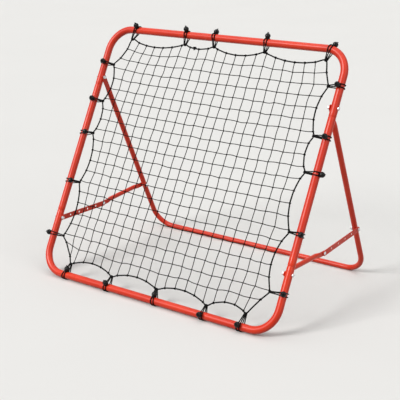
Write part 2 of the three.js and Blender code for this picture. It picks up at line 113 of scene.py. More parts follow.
def dress(tree, shader, look, colour, roughness, height):
    bump = addNode(tree, "Bump", {
        "Strength": look["bump"], "Distance": look["relief"] / 1000, "Height": height})
    plug(tree, shader, {
        "Base Color": colour, "Roughness": roughness, "Normal": bump.outputs["Normal"]})


def perMetre(sizeInMm):     # a noise scale for a feature of that size
    return 1000 / sizeInMm


powderCoat = {
    "colour": "#e4360f",
    "deeper": "#d52c0a",        # slightly thicker film
    "scuffed": "#e2705a",       # rubbed, dusty coat at seams and bolts
    "peel": 2.2,                # orange peel cells in mm, drawn a little coarse so that they show
    "patches": 90,              # mm, slow changes in the film
    "speckle": 3,               # mm, spots within a scuff
    "scuffShare": 0.8,          # how much of the red a scuff hides
    "scuffRoughness": 0.25,     # what a scuff adds
    "roughness": (0.27, 0.40),
    "bump": 0.12, "relief": 0.3,        # strength, and depth in mm
}


def redPowderCoat():
    # Polyester powder coat on steel tube: satin gloss with a soft orange peel, and dull
    # scuffs where tubes and fasteners rub.
    finish, tree, shader, place = newFinish("redPowderCoat", {
        "IOR": 1.5, "Specular IOR Level": 0.42})
    patches = addNode(tree, "TexNoise", {
        "Vector": place, "Scale": perMetre(powderCoat["patches"]), "Detail": 3}).outputs["Fac"]
    thicker = addNode(tree, "MapRange", {
        "Value": patches, "From Min": 0.35, "From Max": 0.65}).outputs["Result"]
    film = addNode(tree, "Mix", {
        0: thicker, 6: powderCoat["colour"], 7: powderCoat["deeper"]}, data_type="RGBA").outputs[2]
    speckle = addNode(tree, "TexNoise", {
        "Vector": place, "Scale": perMetre(powderCoat["speckle"]), "Detail": 6,
        "Roughness": 0.7}).outputs["Fac"]
    wear = addNode(tree, "Attribute", attribute_name="wear").outputs["Fac"]
    speckled = addNode(tree, "Math", {0: wear, 1: speckle}, operation="MULTIPLY").outputs[0]
    rubbed = addNode(tree, "MapRange", {
        "Value": speckled, "From Min": 0.4, "From Max": 0.56,
        "To Max": powderCoat["scuffShare"]}).outputs["Result"]
    colour = addNode(tree, "Mix", {
        0: rubbed, 6: film, 7: powderCoat["scuffed"]}, data_type="RGBA").outputs[2]
    low, high = powderCoat["roughness"]
    gloss = addNode(tree, "MapRange", {
        "Value": patches, "From Min": 0.3, "From Max": 0.7,
        "To Min": low, "To Max": high}).outputs["Result"]
    dulled = addNode(tree, "Math", {
        0: rubbed, 1: powderCoat["scuffRoughness"]}, operation="MULTIPLY").outputs[0]
    rough = addNode(tree, "Math", {0: gloss, 1: dulled}, operation="ADD").outputs[0]
    peel = addNode(tree, "TexNoise", {
        "Vector": place, "Scale": perMetre(powderCoat["peel"]), "Detail": 1}).outputs["Fac"]
    dress(tree, shader, powderCoat, colour, rough, peel)
    return finish


zincPlate = {
    "bright": "#e4e5e6",
    "dull": "#bdc0c3",          # blue-grey passivation
    "grain": 1.4,               # mm
    "roughness": (0.34, 0.5),
    "bump": 0.15, "relief": 0.1,
}


def zincPlatedSteel():
    # Bright zinc electroplate: pale blue-grey metal, mottled, with small bright glints.
    finish, tree, shader, place = newFinish("zincPlatedSteel", {"Metallic": 1.0})
    mottle = addNode(tree, "TexNoise", {
        "Vector": place, "Scale": perMetre(zincPlate["grain"]), "Detail": 4}).outputs["Fac"]
    share = addNode(tree, "MapRange", {
        "Value": mottle, "From Min": 0.35, "From Max": 0.65}).outputs["Result"]
    colour = addNode(tree, "Mix", {
        0: share, 6: zincPlate["bright"], 7: zincPlate["dull"]}, data_type="RGBA").outputs[2]
    low, high = zincPlate["roughness"]
    rough = addNode(tree, "MapRange", {
        "Value": mottle, "From Min": 0.3, "From Max": 0.7,
        "To Min": low, "To Max": high}).outputs["Result"]
    dress(tree, shader, zincPlate, colour, rough, mottle)
    return finish


def cordFinish(name, cord):
    # Twisted or braided black filament: ridges follow the cord's own lay. Its colour holds painted
    # shade and painted light: near black in the grooves where shade falls, and a little greyer on
    # the ridge tops where light catches them, varied by dust.
    finish, tree, shader, place = newFinish(name, {
        "IOR": 1.5, "Sheen Weight": cord["sheen"], "Sheen Roughness": 0.5,
        "Specular IOR Level": 0.12})
    lay = addNode(tree, "UVMap", uv_map="lay").outputs["UV"]
    parts = addNode(tree, "SeparateXYZ", {"Vector": lay}).outputs
    perTurn = 2 * math.pi * cord["strands"]
    turns = addNode(tree, "Math", {
        0: parts["X"], 1: perTurn / cord["layLength"]}, operation="MULTIPLY").outputs[0]
    around = addNode(tree, "Math", {0: parts["Y"], 1: perTurn}, operation="MULTIPLY").outputs[0]
    phase = addNode(tree, "Math", {0: around, 1: turns}, operation="SUBTRACT").outputs[0]
    ridge = addNode(tree, "Math", {0: phase}, operation="SINE").outputs[0]
    if cord["braided"]:     # a second set of strands crosses the first
        phase = addNode(tree, "Math", {0: around, 1: turns}, operation="ADD").outputs[0]
        crossing = addNode(tree, "Math", {0: phase}, operation="SINE").outputs[0]
        ridge = addNode(tree, "Math", {0: ridge, 1: crossing}, operation="MULTIPLY").outputs[0]
    height = addNode(tree, "MapRange", {"Value": ridge, "From Min": -1}).outputs["Result"]
    dust = addNode(tree, "TexNoise", {
        "Vector": place, "Scale": perMetre(cord["dust"]), "Detail": 4}).outputs["Fac"]
    dusty = addNode(tree, "MapRange", {
        "Value": dust, "From Min": 0.3, "From Max": 0.7, "To Min": 0.3}).outputs["Result"]
    # painted light and shade: the strand height mixes the painted groove shade into the painted
    # ridge highlight, and dust noise varies it
    share = addNode(tree, "Math", {0: height, 1: dusty}, operation="MULTIPLY").outputs[0]
    colour = addNode(tree, "Mix", {
        0: share, 6: cord["grooveShade"], 7: cord["ridge"]}, data_type="RGBA").outputs[2]
    rough = addNode(tree, "MapRange", {
        "Value": height, "To Min": 0.85, "To Max": cord["roughness"]}).outputs["Result"]
    dress(tree, shader, cord, colour, rough, height)
    return finish


ballPlastic = {
    "colour": "#030304",
    "worn": "#0a0b0c",
    "grain": 0.8,       # mm, spark-eroded mould texture
    "rub": 7,           # mm, patches rubbed by hands and by the ground
    "roughness": (0.16, 0.28),
    "bump": 0.2, "relief": 0.1,
}


def mouldedBallPlastic():
    # Injection moulded polypropylene: black, slightly greasy gloss, fine mould grain and
    # faintly greyer patches where it is rubbed.
    finish, tree, shader, place = newFinish("mouldedBallPlastic", {
        "IOR": 1.49, "Specular IOR Level": 0.24})
    grain = addNode(tree, "TexNoise", {
        "Vector": place, "Scale": perMetre(ballPlastic["grain"]), "Detail": 2}).outputs["Fac"]
    rub = addNode(tree, "TexNoise", {
        "Vector": place, "Scale": perMetre(ballPlastic["rub"]), "Detail": 5,
        "Roughness": 0.65}).outputs["Fac"]
    share = addNode(tree, "MapRange", {
        "Value": rub, "From Min": 0.5, "From Max": 0.75}).outputs["Result"]
    colour = addNode(tree, "Mix", {
        0: share, 6: ballPlastic["colour"], 7: ballPlastic["worn"]}, data_type="RGBA").outputs[2]
    low, high = ballPlastic["roughness"]
    rough = addNode(tree, "MapRange", {
        "Value": rub, "From Min": 0.3, "From Max": 0.7,
        "To Min": low, "To Max": high}).outputs["Result"]
    dress(tree, shader, ballPlastic, colour, rough, grain)
    return finish


# groove colour: a painted shade in a cord's grooves; ridge colour: a painted highlight on its ridge
# tops
netTwine = {        # twisted polyethylene, 2.7 mm: thin matt black line
    "diameter": 2.7, "strands": 3, "layLength": 10, "braided": False,
    "grooveShade": "#020202", "ridge": "#0e100f", "roughness": 0.7, "sheen": 0.0,
    "dust": 25, "bump": 0.6, "relief": 0.25,
}
edgeCord = {        # laid polypropylene rope, 5 mm
    "diameter": 5.0, "strands": 9, "layLength": 16, "braided": False,
    "grooveShade": "#030303", "ridge": "#0e1011", "roughness": 0.6, "sheen": 0.0,
    "dust": 25, "bump": 0.6, "relief": 0.2,
    "lobes": 3, "lobeDepth": 0.16,      # its laid strands, and the groove's share of the radius
}
elasticCord = {     # rubber core in a woven sheath: small diamond weave with a soft shine
    "diameter": 3.6, "strands": 6, "layLength": 8, "braided": True,
    "grooveShade": "#020202", "ridge": "#090a0b", "roughness": 0.55, "sheen": 0.02,
    "dust": 25, "bump": 0.6, "relief": 0.2,
}
redCoat = redPowderCoat()
zinc = zincPlatedSteel()
twineBlack = cordFinish("twistedNetTwine", netTwine)
ropeBlack = cordFinish("laidEdgeRope", edgeCord)
elasticBlack = cordFinish("wovenElasticSheath", elasticCord)
ballBlack = mouldedBallPlastic()
print("finishes made")


def unit(vector):
    vector = np.asarray(vector, float)
    return vector / np.linalg.norm(vector)


def leftOf(vector):         # a flat vector turned a quarter to the left
    return np.array([-vector[1], vector[0]])


def rotation(angle):
    return np.array([[math.cos(angle), -math.sin(angle)], [math.sin(angle), math.cos(angle)]])


def fullTurn(count):        # equal angles all round
    return np.arange(count) * 2 * math.pi / count


def spokes(reference, direction, angles):
    # Unit vectors round a direction; the reference is square to it, or nearly
    sideways = unit(np.cross(reference, direction))
    upward = np.cross(unit(direction), sideways)
    return np.outer(np.cos(angles), sideways) + np.outer(np.sin(angles), upward)


def ringRoundX(x, radius, angles):      # x and radius may vary round the ring
    return np.stack([x + 0 * angles, radius * np.cos(angles), radius * np.sin(angles)], 1)


def skin(rings, loops=False, along=None, wear=None):
    # A part is its points, its faces, a lay coordinate for each face corner, and its wear
    rings = np.asarray(rings, float)
    count, sides = rings.shape[:2]
    along = np.arange(count, dtype=float) if along is None else np.asarray(along, float)
    faces, lay = [], []
    for k in range(count if loops else count - 1):
        nextRing = (k + 1) % count
        nextAlong = along[k + 1] if k + 1 < len(along) else along[k] + (along[1] - along[0])
        for i in range(sides):
            j = (i + 1) % sides
            faces.append((k * sides + i, k * sides + j, nextRing * sides + j, nextRing * sides + i))
            a, b = i / sides, (i + 1) / sides
            lay += [(along[k], a), (along[k], b), (nextAlong, b), (nextAlong, a)]
    if not loops:
        faces.append(tuple(reversed(range(sides))))
        faces.append(tuple(range((count - 1) * sides, count * sides)))
        lay += [(along[0], 0.5)] * sides + [(along[-1], 0.5)] * sides
    worn = np.zeros(count * sides) if wear is None else np.repeat(np.asarray(wear, float), sides)
    return rings.reshape(-1, 3), faces, lay, worn


def cordPart(points, reference, radius, sides, loops=False, laid=None):
    # A cord along the points; laid gives it the strands of that rope
    points = np.asarray(points, float)
    if loops:
        direction = np.roll(points, -1, 0) - np.roll(points, 1, 0)
    else:
        direction = np.gradient(points, axis=0)
    steps = np.linalg.norm(np.diff(points, axis=0), axis=1)
    along = np.concatenate([[0], np.cumsum(steps)])
    if loops:
        along = np.append(along, along[-1] + np.linalg.norm(points[0] - points[-1]))
    angles = fullTurn(sides)
    rings = []
    for k, point in enumerate(points):
        size = radius * np.ones(sides)
        if laid:        # a whole number of turns, so that the strands meet where the rope closes
            perTurn = along[-1] / max(1, round(along[-1] / laid["layLength"]))
            strand = np.abs(np.cos(laid["lobes"] / 2 * (angles - 2 * math.pi * along[k] / perTurn)))
            size *= 1 - laid["lobeDepth"] + laid["lobeDepth"] * strand
        rings.append(point + size[:, None] * spokes(reference, direction[k], angles))
    return skin(rings, loops, along)


def lathePart(profile, centre, axis, sides):
    # profile: (radius, height along the axis)
    axis = unit(axis)
    helper = np.array([0, 0, 1.0]) if abs(axis[2]) < 0.8 else np.array([1.0, 0, 0])
    around = spokes(helper, axis, fullTurn(sides))
    rings = [np.asarray(centre) + height * axis + radius * around for radius, height in profile]
    return skin(rings, along=[height for _, height in profile])


def placedPart(part, matrix, offset):
    points, faces, lay, worn = part
    return np.asarray(points) @ np.asarray(matrix).T + np.asarray(offset), faces, lay, worn


def addPiece(name, node, body, groups, finishes, sharp=40):
    # groups: one list of parts for each finish. Edges sharper than sharp, in degrees, stay hard.
    points, faces, lay, worn, kinds = [], [], [], [], []
    base = 0
    for kind, parts in enumerate(groups):
        for partPoints, partFaces, partLay, partWorn in parts:
            points.append(partPoints)
            faces += [tuple(base + i for i in face) for face in partFaces]
            lay += partLay
            worn.append(partWorn)
            kinds += [kind] * len(partFaces)
            base += len(partPoints)
    mesh = bpy.data.meshes.new(name)
    mesh.from_pydata((np.concatenate(points) / 1000).tolist(), [], faces)
    mesh.uv_layers.new(name="lay").data.foreach_set("uv", np.array(lay, np.float32).ravel())
    wear = mesh.attributes.new("wear", "FLOAT", "POINT")
    wear.data.foreach_set("value", np.concatenate(worn).astype(np.float32))
    for finish in finishes:
        mesh.materials.append(finish)
    mesh.polygons.foreach_set("material_index", kinds)
    mesh.shade_smooth()
    mesh.set_sharp_from_angle(angle=math.radians(sharp))
    mesh.update()
    piece = addObject(name, mesh)
    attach(piece, body)
    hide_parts(node)


loop = {
    "lean": 60.8,
    "barY": -301.623, "barZ": 16.0,     # centre line of the front bar, which stands on its ties
    "width": 975, "length": 914,        # between the tubes' centre lines
    "tube": 25, "wall": 1.2,
    "corner": 83,                       # bend radius at the centre line
    "seam": 217,                        # from a bar's centre line to the end of its bent legs
    "seamGap": 1.6, "lip": 0.9,         # the dark line at a seam and the rolled edge beside it
    "boreDepth": 40,                    # how far the inside of an open end is drawn
    "spigot": 11.0, "spigotLength": 38,     # the reduced end: radius, and how far it goes in
    "hinge": 725.6, "stay": 192.2,      # bolt heights up the side
    "seamWear": (15, 0.75), "boltWear": (19, 0.7),      # how far a scuff reaches, and its strength
    "sides": 48,
}
leanAngle = math.radians(loop["lean"])
loopAxes = np.array([
    [1, 0, 0],
    [0, math.cos(leanAngle), math.sin(leanAngle)],
    [0, -math.sin(leanAngle), math.cos(leanAngle)],
])          # across, up the lean, and out of the net towards the front
loopOrigin = np.array([0, loop["barY"], loop["barZ"]])


def onLoop(across, up, out=0.0):
    return loopOrigin + np.array([across, up, out]) @ loopAxes


def bentPath(corners, radius, steps=18):
    # 2-D points and directions along straight runs joined by arcs
    corners = [np.array(corner, float) for corner in corners]
    path = [(corners[0], unit(corners[1] - corners[0]))]
    for before, corner, after in zip(corners, corners[1:], corners[2:]):
        into, away = unit(corner - before), unit(after - corner)
        turn = math.atan2(into[0] * away[1] - into[1] * away[0], into @ away)
        start = corner - into * radius * math.tan(abs(turn) / 2)
        centre = start + leftOf(into) * math.copysign(radius, turn)
        for k in range(steps + 1):
            spin = rotation(turn * k / steps)
            path.append((centre + spin @ (start - centre), spin @ into))
    path.append((corners[-1], unit(corners[-1] - corners[-2])))
    return path


def filled(path, step=12):
    # More stations on the straight runs, so that wear can be placed along them
    stations = []
    for (point, direction), (nextPoint, _) in zip(path, path[1:]):
        count = max(1, int(np.linalg.norm(nextPoint - point) // step))
        for k in range(count):
            stations.append((point + (nextPoint - point) * k / count, direction))
    stations.append(path[-1])
    return stations


def wearNear(points, spots):
    # 1 at a spot where tubes or fasteners rub, falling off with distance
    worn = np.zeros(len(points))
    for spot, reach, strength in spots:
        distance = np.linalg.norm(np.asarray(points) - np.asarray(spot), axis=1)
        worn = np.maximum(worn, strength * np.clip(1 - distance / reach, 0, 1))
    return worn


def addLoopTube(name, node, stations):
    # stations: (point, direction, radius)
    half, seam = loop["width"] / 2, loop["seam"]
    heights = [(seam, loop["seamWear"]), (loop["length"] - seam, loop["seamWear"]),
               (loop["hinge"], loop["boltWear"]), (loop["stay"], loop["boltWear"])]
    spots = [(onLoop(side * half, up), *wear) for side in (-1, 1) for up, wear in heights]
    worn = wearNear([point for point, _, _ in stations], spots)
    rings = [point + radius * spokes(loopAxes[2], direction, fullTurn(loop["sides"]))
             for point, direction, radius in stations]
    addPiece(name, node, "main_frame", [[skin(rings, wear=worn)]], [redCoat])


def bentFrameTube(name, node, flip):
    half, radius, legEnd = loop["width"] / 2, loop["tube"] / 2, loop["seam"]
    bore, lip = radius - loop["wall"], loop["lip"]
    corners = [(-half, legEnd), (-half, 0), (half, 0), (half, legEnd)]
    path = filled(bentPath(corners, loop["corner"]))
    down = np.array([0, -1.0])
    rim = [(loop["boreDepth"], bore), (lip / 2, bore), (lip / 4, bore + 0.15),
           (0, (bore + radius) / 2), (lip / 4, radius - 0.2), (lip, radius)]
    stations = [(np.array([-half, legEnd]) + down * depth, down, size) for depth, size in rim]
    stations += [(point, direction, radius) for point, direction in path[1:-1]]
    stations += [(np.array([half, legEnd]) + down * depth, -down, size)
                 for depth, size in rim[::-1]]
    placed = []
    for point, direction, size in stations:
        across, up = (-point[0], loop["length"] - point[1]) if flip else point
        turned = -direction if flip else direction
        placed.append((onLoop(across, up), turned @ loopAxes[:2], size))
    addLoopTube(name, node, placed)


def sideTube(name, node, side):
    across, radius, lip = side * loop["width"] / 2, loop["tube"] / 2, loop["lip"]
    low = loop["seam"] + loop["seamGap"]
    high = loop["length"] - low
    spigot, inserted = loop["spigot"], loop["spigotLength"]
    ends = [(-inserted, spigot - 0.6), (1 - inserted, spigot), (0, spigot), (0.02, radius - 0.6),
            (lip / 4, radius - 0.2), (lip, radius)]
    heights = [(low + depth, size) for depth, size in ends]
    heights += [(up, radius) for up in np.linspace(low + lip, high - lip, 40)[1:-1]]
    heights += [(high - depth, size) for depth, size in ends[::-1]]
    addLoopTube(name, node, [(onLoop(across, up), loopAxes[1], size) for up, size in heights])


bentFrameTube("frontBar", "bottom_u_tube", False)
bentFrameTube("topBar", "top_u_tube", True)
sideTube("leftSideTube", "left_side_tube", -1)
sideTube("rightSideTube", "right_side_tube", 1)
print("loop of tube built")

rear = {
    "barY": 321.177, "barZ": 9.317,
    "tube": 19,
    "topX": 473.2, "footX": 464,        # legs' centre lines at the hinge and at the ground bar
    "corner": 73,
    "stay": 196.5,                      # bolt height up the leg
    "pressed": 3, "pressedWidth": 21, "pressedLength": 46, "taper": 24,
    "hingeWear": (14, 0.7), "stayWear": (16, 0.7),
    "sides": 36,
}
hingePoint = onLoop(0, loop["hinge"])
rearOrigin = np.array([0, rear["barY"], rear["barZ"]])
rearLength = np.linalg.norm(hingePoint - rearOrigin)
rearStayX = rear["footX"] + (rear["topX"] - rear["footX"]) * rear["stay"] / rearLength
rearUp = (hingePoint - rearOrigin) / rearLength
rearAxes = np.array([[1, 0, 0], rearUp, np.cross([1, 0, 0], rearUp)])


def onRear(across, up, out=0.0):
    return rearOrigin + np.array([across, up, out]) @ rearAxes


def pressedRing(radius, thickness, width, offset, press, share, sides):
    # A round section pressed towards a flat one with rounded sides: (through, across) pairs
    angles = fullTurn(sides)
    power = 2 / (2 + 4 * press)
    halfThick = (1 - press) * radius + press * thickness / 2
    halfWide = ((1 - press) * radius + press * width / 2) * share
    through = halfThick * np.sign(np.cos(angles)) * np.abs(np.cos(angles)) ** power
    across = halfWide * np.sign(np.sin(angles)) * np.abs(np.sin(angles)) ** (1 - 0.35 * press)
    return np.stack([through + (1 - press) * offset, across], 1)


def smoothStep(t):
    return t * t * (3 - 2 * t)


def pressedEndSteps(width, flatLength, taper):
    # (distance past the bolt, press, share of the width), from the nose back to the round
    nose = [(width / 2 * math.sin(angle), 1, math.cos(angle))
            for angle in map(math.radians, (86, 75, 62, 48, 34, 20, 8))]
    flat = [(-flatLength * k / 4, 1, 1) for k in range(5)]
    slope = [(-flatLength - taper * k / 9, 1 - smoothStep(k / 9), 1) for k in range(1, 10)]
    return nose + flat + slope


def rearFrameTube():
    corners = [(-rear["topX"], rearLength), (-rear["footX"], 0), (rear["footX"], 0),
               (rear["topX"], rearLength)]
    path = bentPath(corners, rear["corner"])
    ends = pressedEndSteps(rear["pressedWidth"], rear["pressedLength"], rear["taper"])
    (first, down), (last, up) = path[0], path[-1]
    rows = [(first - down * past, down, press, share) for past, press, share in ends]
    rows += [(point, direction, 0, 1) for point, direction in filled(path[1:-1])]
    rows += [(last + up * past, up, press, share) for past, press, share in ends[::-1]]
    rings = []
    for point, direction, press, share in rows:
        pairs = pressedRing(rear["tube"] / 2, rear["pressed"], rear["pressedWidth"], 0,
                            press, share, rear["sides"])
        flatPoints = point - pairs[:, :1] * leftOf(direction)
        rings.append([onRear(x, y, out) for (x, y), out in zip(flatPoints, pairs[:, 1])])
    spots = [(onRear(side * rear["topX"], rearLength), *rear["hingeWear"]) for side in (-1, 1)]
    spots += [(onRear(side * rearStayX, rear["stay"]), *rear["stayWear"]) for side in (-1, 1)]
    worn = wearNear([onRear(*point) for point, *_ in rows], spots)
    addPiece("rearFrameTube", "rear_frame_tube", "rear_frame",
             [[skin(rings, wear=worn)]], [redCoat])


rearFrameTube()
print("rear frame built")

stay = {
    "flatLength": 222.5, "flatWidth": 19, "flatThickness": 2,
    "edge": 0.35,           # rounding left by the shears
    "hole": 6.6, "sparePitch": 44.5, "spareCount": 4,
    "holeWear": 0.85,
    "tubeLength": 231, "tube": 16,
    "pressed": 3, "pressedWidth": 17, "pressedLength": 24, "taper": 22,
    "pressedWear": 0.4,
    "rivet": 2.95,          # its shank's radius
    "rivetDome": [(0.3, 2.55), (2.2, 2.4), (4.0, 1.85), (5.2, 1.05), (5.8, 0.35), (5.85, 0.08),
                  (5.6, 0.0)],
    "seat": 0.3,            # clearance between pieces that touch
}
frameInside = loop["width"] / 2 - loop["tube"] / 2
rearOutside = rearStayX + rear["tube"] / 2
frontStay = onLoop(0, loop["stay"])[1:]
rearStay = onRear(0, rear["stay"])[1:]


def rivetPlace(frontLength, rearLinkLength):
    chord = rearStay - frontStay
    reach = np.linalg.norm(chord)
    ahead = (frontLength ** 2 - rearLinkLength ** 2 + reach ** 2) / (2 * reach)
    drop = math.sqrt(frontLength ** 2 - ahead ** 2)
    chord = chord / reach
    return frontStay + chord * ahead - leftOf(chord) * drop


def layAlong(fromPoint, toPoint):
    # Local X points to the object's left, local Y along the link
    along = unit(np.asarray(toPoint) - np.asarray(fromPoint))
    sideways = unit(np.array([-1.0, 0, 0]) + along * along[0])
    return np.stack([sideways, along, np.cross(sideways, along)], 1)


def flatLinkPart():
    # Pressed strip: rounded ends, drilled row of spare holes, edges broken by the shears
    half, length, thickness = stay["flatWidth"] / 2, stay["flatLength"], stay["flatThickness"]
    sheet = bpy.data.curves.new("flatLink", "CURVE")
    sheet.dimensions = "2D"
    sheet.fill_mode = "BOTH"
    sheet.extrude = thickness / 2 - stay["edge"]
    sheet.bevel_depth = stay["edge"]
    sheet.bevel_resolution = 1
    sheet.offset = -stay["edge"]

    def addOutline(points):
        spline = sheet.splines.new("POLY")
        spline.points.add(len(points) - 1)
        spline.points.foreach_set("co", [value for x, y in points for value in (x, y, 0, 1)])
        spline.use_cyclic_u = True

    arc = np.linspace(0, math.pi, 25)
    outline = [(half * math.cos(a), length + half * math.sin(a)) for a in arc]
    outline += [(-half * math.cos(a), -half * math.sin(a)) for a in arc]
    addOutline(outline)
    places = [k * stay["sparePitch"] for k in range(stay["spareCount"] + 1)] + [length]
    hole = stay["hole"] / 2
    for place in places:
        addOutline([(hole * math.cos(a), place - hole * math.sin(a)) for a in fullTurn(28)])
    carrier = addObject("flatLink", sheet)
    bpy.context.view_layer.update()
    evaluated = carrier.evaluated_get(bpy.context.evaluated_depsgraph_get())
    shape = bpy.data.meshes.new_from_object(evaluated)
    flat = np.array([v.co[:] for v in shape.vertices])
    faces = [tuple(face.vertices) for face in shape.polygons]
    bpy.data.objects.remove(carrier)
    bpy.data.curves.remove(sheet)
    bpy.data.meshes.remove(shape)
    points = np.stack([flat[:, 2] + thickness / 2, flat[:, 1], -flat[:, 0]], 1)
    lay = [(0.0, 0.0)] * sum(len(face) for face in faces)
    worn = np.zeros(len(points))
    for place in places:        # rubbed from the hole's edge outwards
        distance = np.hypot(points[:, 1] - place, points[:, 2])
        worn = np.maximum(worn, stay["holeWear"] * np.clip(1 - (distance - 3) / 3, 0, 1))
    return points, faces, lay, worn


def tubeLinkPart():
    thickness, width, length = stay["pressed"], stay["pressedWidth"], stay["tubeLength"]
    offset = (stay["tube"] - thickness) / 2
    steps = pressedEndSteps(width, stay["pressedLength"], stay["taper"])
    roundFrom = -steps[-1][0]
    rows = [(-past, press, share) for past, press, share in steps]
    rows += [(y, 0, 1) for y in np.linspace(roundFrom, length - roundFrom, 14)[1:-1]]
    rows += [(length + past, press, share) for past, press, share in steps[::-1]]
    rings, worn = [], []
    for y, press, share in rows:
        pairs = pressedRing(stay["tube"] / 2, thickness, width, offset, press, share, 32)
        rings.append([(thickness / 2 + through, y, across) for through, across in pairs])
        worn.append(stay["pressedWear"] * press ** 3)
    return skin(rings, wear=worn)


def rivetPart(shank):
    # Domed head on the +X side of the origin, shank on the other
    radius = stay["rivet"]
    profile = stay["rivetDome"] + [(radius, 0.0), (radius, -shank + 0.3), (radius - 0.35, -shank)]
    return lathePart(profile, (0, 0, 0), (1, 0, 0), 32)


def addStay(name, flatFrom, tubeFrom, rivetAt, flatFace, tubeFaceAtBolt, flatBody, tubeBody):
    seat, thickness, pressed = stay["seat"], stay["flatThickness"], stay["pressed"]
    tubeFaceAtRivet = flatFace - thickness - seat

    def at(x, pivot):
        return np.array([x, pivot[0], pivot[1]])

    flatStart, flatEnd = at(flatFace, flatFrom), at(flatFace, rivetAt)
    tubeStart, tubeEnd = at(tubeFaceAtBolt, tubeFrom), at(tubeFaceAtRivet, rivetAt)
    flatLink = placedPart(flatLinkPart(), layAlong(flatStart, flatEnd), flatStart)
    tubeLink = placedPart(tubeLinkPart(), layAlong(tubeStart, tubeEnd), tubeStart)
    head = placedPart(rivetPart(seat / 2 + thickness), np.eye(3), at(flatFace + seat, rivetAt))
    tail = placedPart(rivetPart(seat / 2 + pressed), np.diag([-1.0, 1, -1]),
                      at(tubeFaceAtRivet - pressed - seat, rivetAt))
    for word, nodeWord, body, slotName, part, finish, sharp in (
            ("FlatLink", "flat_link", flatBody, "red_powder_coat", flatLink, redCoat, 40),
            ("TubeLink", "tube_link", tubeBody, "red_powder_coat", tubeLink, redCoat, 30),
            ("Rivet", "rivet", flatBody, "zinc_plated_steel", head, zinc, 40),
            ("RivetTail", "rivet_tail", tubeBody, "zinc_plated_steel", tail, zinc, 40)):
        addPiece(f"{name}{word}", f"{name}_stay_{nodeWord}", body,
                 [[part]], [finish], sharp)


flatFaceLeft = -(frameInside - stay["seat"] - stay["flatThickness"])
addStay("left", frontStay, rearStay, rivetPlace(stay["flatLength"], stay["tubeLength"]),
        flatFaceLeft, -(rearOutside + stay["seat"]), "left_front_link", "left_rear_link")
addStay("right", rearStay, frontStay, rivetPlace(stay["tubeLength"], stay["flatLength"]),
        rearOutside + stay["seat"] + stay["flatThickness"], frameInside - stay["seat"],
        "right_rear_link", "right_front_link")
print("stays built")

fastener = {
    "diameter": 6, "pitch": 1.0,
    "threaded": 11.0, "threadDepth": 0.45,
    "across": 10, "headHeight": 4, "nutHeight": 5,
    "chamfer": 30, "edge": 0.12,        # degrees, and the height broken off all round
    "washer": 12, "washerHole": 6.6, "washerThickness": 1.6, "washerEdge": 0.25,
    "boltEnd": 1.5,         # thread showing past the nut
}


def hexPart(height, hole, chamferBoth):
    # Hexagon whose corners are turned off to a circle at the top, and at the foot of a nut
    flat, edge, perSide = fastener["across"] / 2, fastener["edge"], 6
    fromFlat = np.tile(np.radians(np.arange(perSide) * 60 / perSide - 30), 6)
    angles = fromFlat + np.repeat(np.radians(np.arange(6) * 60), perSide)
    reach = flat / np.cos(fromFlat)
    drop = np.maximum(0, reach - flat) * math.tan(math.radians(fastener["chamfer"]))
    rings = [ringRoundX((edge + drop) * chamferBoth, reach, angles),
             ringRoundX(height - edge - drop, reach, angles),
             ringRoundX(height, flat * 0.97, angles), ringRoundX(height, flat * 0.8, angles)]
    if hole:        # in at the top, down the bore and out at the foot
        bore = [(hole / 2 + 0.5, height), (hole / 2, height - 0.5), (hole / 2, 0.5),
                (hole / 2 + 0.5, 0), (flat * 0.95, 0)]
        return skin(rings + [ringRoundX(x, radius, angles) for radius, x in bore], True)
    dish = [ringRoundX(height - 0.25, radius, angles) for radius in (flat * 0.72, 0.4)]
    return skin([ringRoundX(0, flat * 0.9, angles)] + rings + dish)


def threadPart(length):
    # Shank on the -X side with a real helical thread at its end
    radius, pitch = fastener["diameter"] / 2 - 0.05, fastener["pitch"]
    threaded, angles = fastener["threaded"], fullTurn(24)
    count = int(threaded / pitch * 8)       # eight rings for each turn of the thread
    rings = [ringRoundX(-length, 0.8 * radius, angles)]
    for k in range(count + 1):
        x = -length + 0.5 + (threaded - 0.5) * k / count
        phase = (x / pitch - angles / (2 * math.pi)) % 1
        depth = fastener["threadDepth"] * (1 - np.abs(2 * phase - 1))
        fade = min(1, (k + 1) / 4)          # the point of the bolt narrows
        rings.append(ringRoundX(x, (radius - depth) * (0.86 + 0.14 * fade), angles))
    rings += [ringRoundX(x, radius, angles) for x in (-length + threaded + 0.4, 0.0)]
    return skin(rings)


def washerPart():
    outer, inner = fastener["washer"] / 2, fastener["washerHole"] / 2
    half, edge = fastener["washerThickness"] / 2, fastener["washerEdge"]
    profile = [(inner + edge, -half), (outer - edge, -half), (outer, -half + edge),
               (outer, half - edge), (outer - edge, half), (inner + edge, half),
               (inner, half - edge), (inner, -half + edge)]
    return skin([ringRoundX(x, radius, fullTurn(40)) for radius, x in profile], True)


def addFastener(name, node, side, pivot, outerFace, stackFace, body):
    seat = stay["seat"]
    outside = outerFace + seat
    washerX = stackFace - seat - fastener["washerThickness"] / 2
    nutX = washerX - fastener["washerThickness"] / 2 - seat - fastener["nutHeight"]
    tip = nutX - fastener["boltEnd"]
    turn = Matrix.Rotation(random.uniform(0, math.pi), 3, "X")      # as it was tightened
    spin = np.diag([side, side, 1.0]) @ np.array(turn)
    pieces = [
        ("Bolt", "bolt", [hexPart(fastener["headHeight"], 0, 0), threadPart(outside - tip)],
         outside),
        ("Washer", "washer", [washerPart()], washerX),
        ("Nut", "nut", [hexPart(fastener["nutHeight"], fastener["diameter"], 1)], nutX),
    ]
    for word, nodeWord, parts, x in pieces:
        centre = np.array([side * x, pivot[0], pivot[1]])
        addPiece(f"{name}{word}", f"{node}_{nodeWord}", body,
                 [[placedPart(part, spin, centre) for part in parts]], [zinc], 28)


random.seed(7)
loopOutside = loop["width"] / 2 + loop["tube"] / 2
hingeStack = frameInside - stay["seat"] - rear["pressed"]
rearStack = rearStayX - rear["tube"] / 2
flatSeated, pressedSeated = stay["seat"] + stay["flatThickness"], stay["seat"] + stay["pressed"]
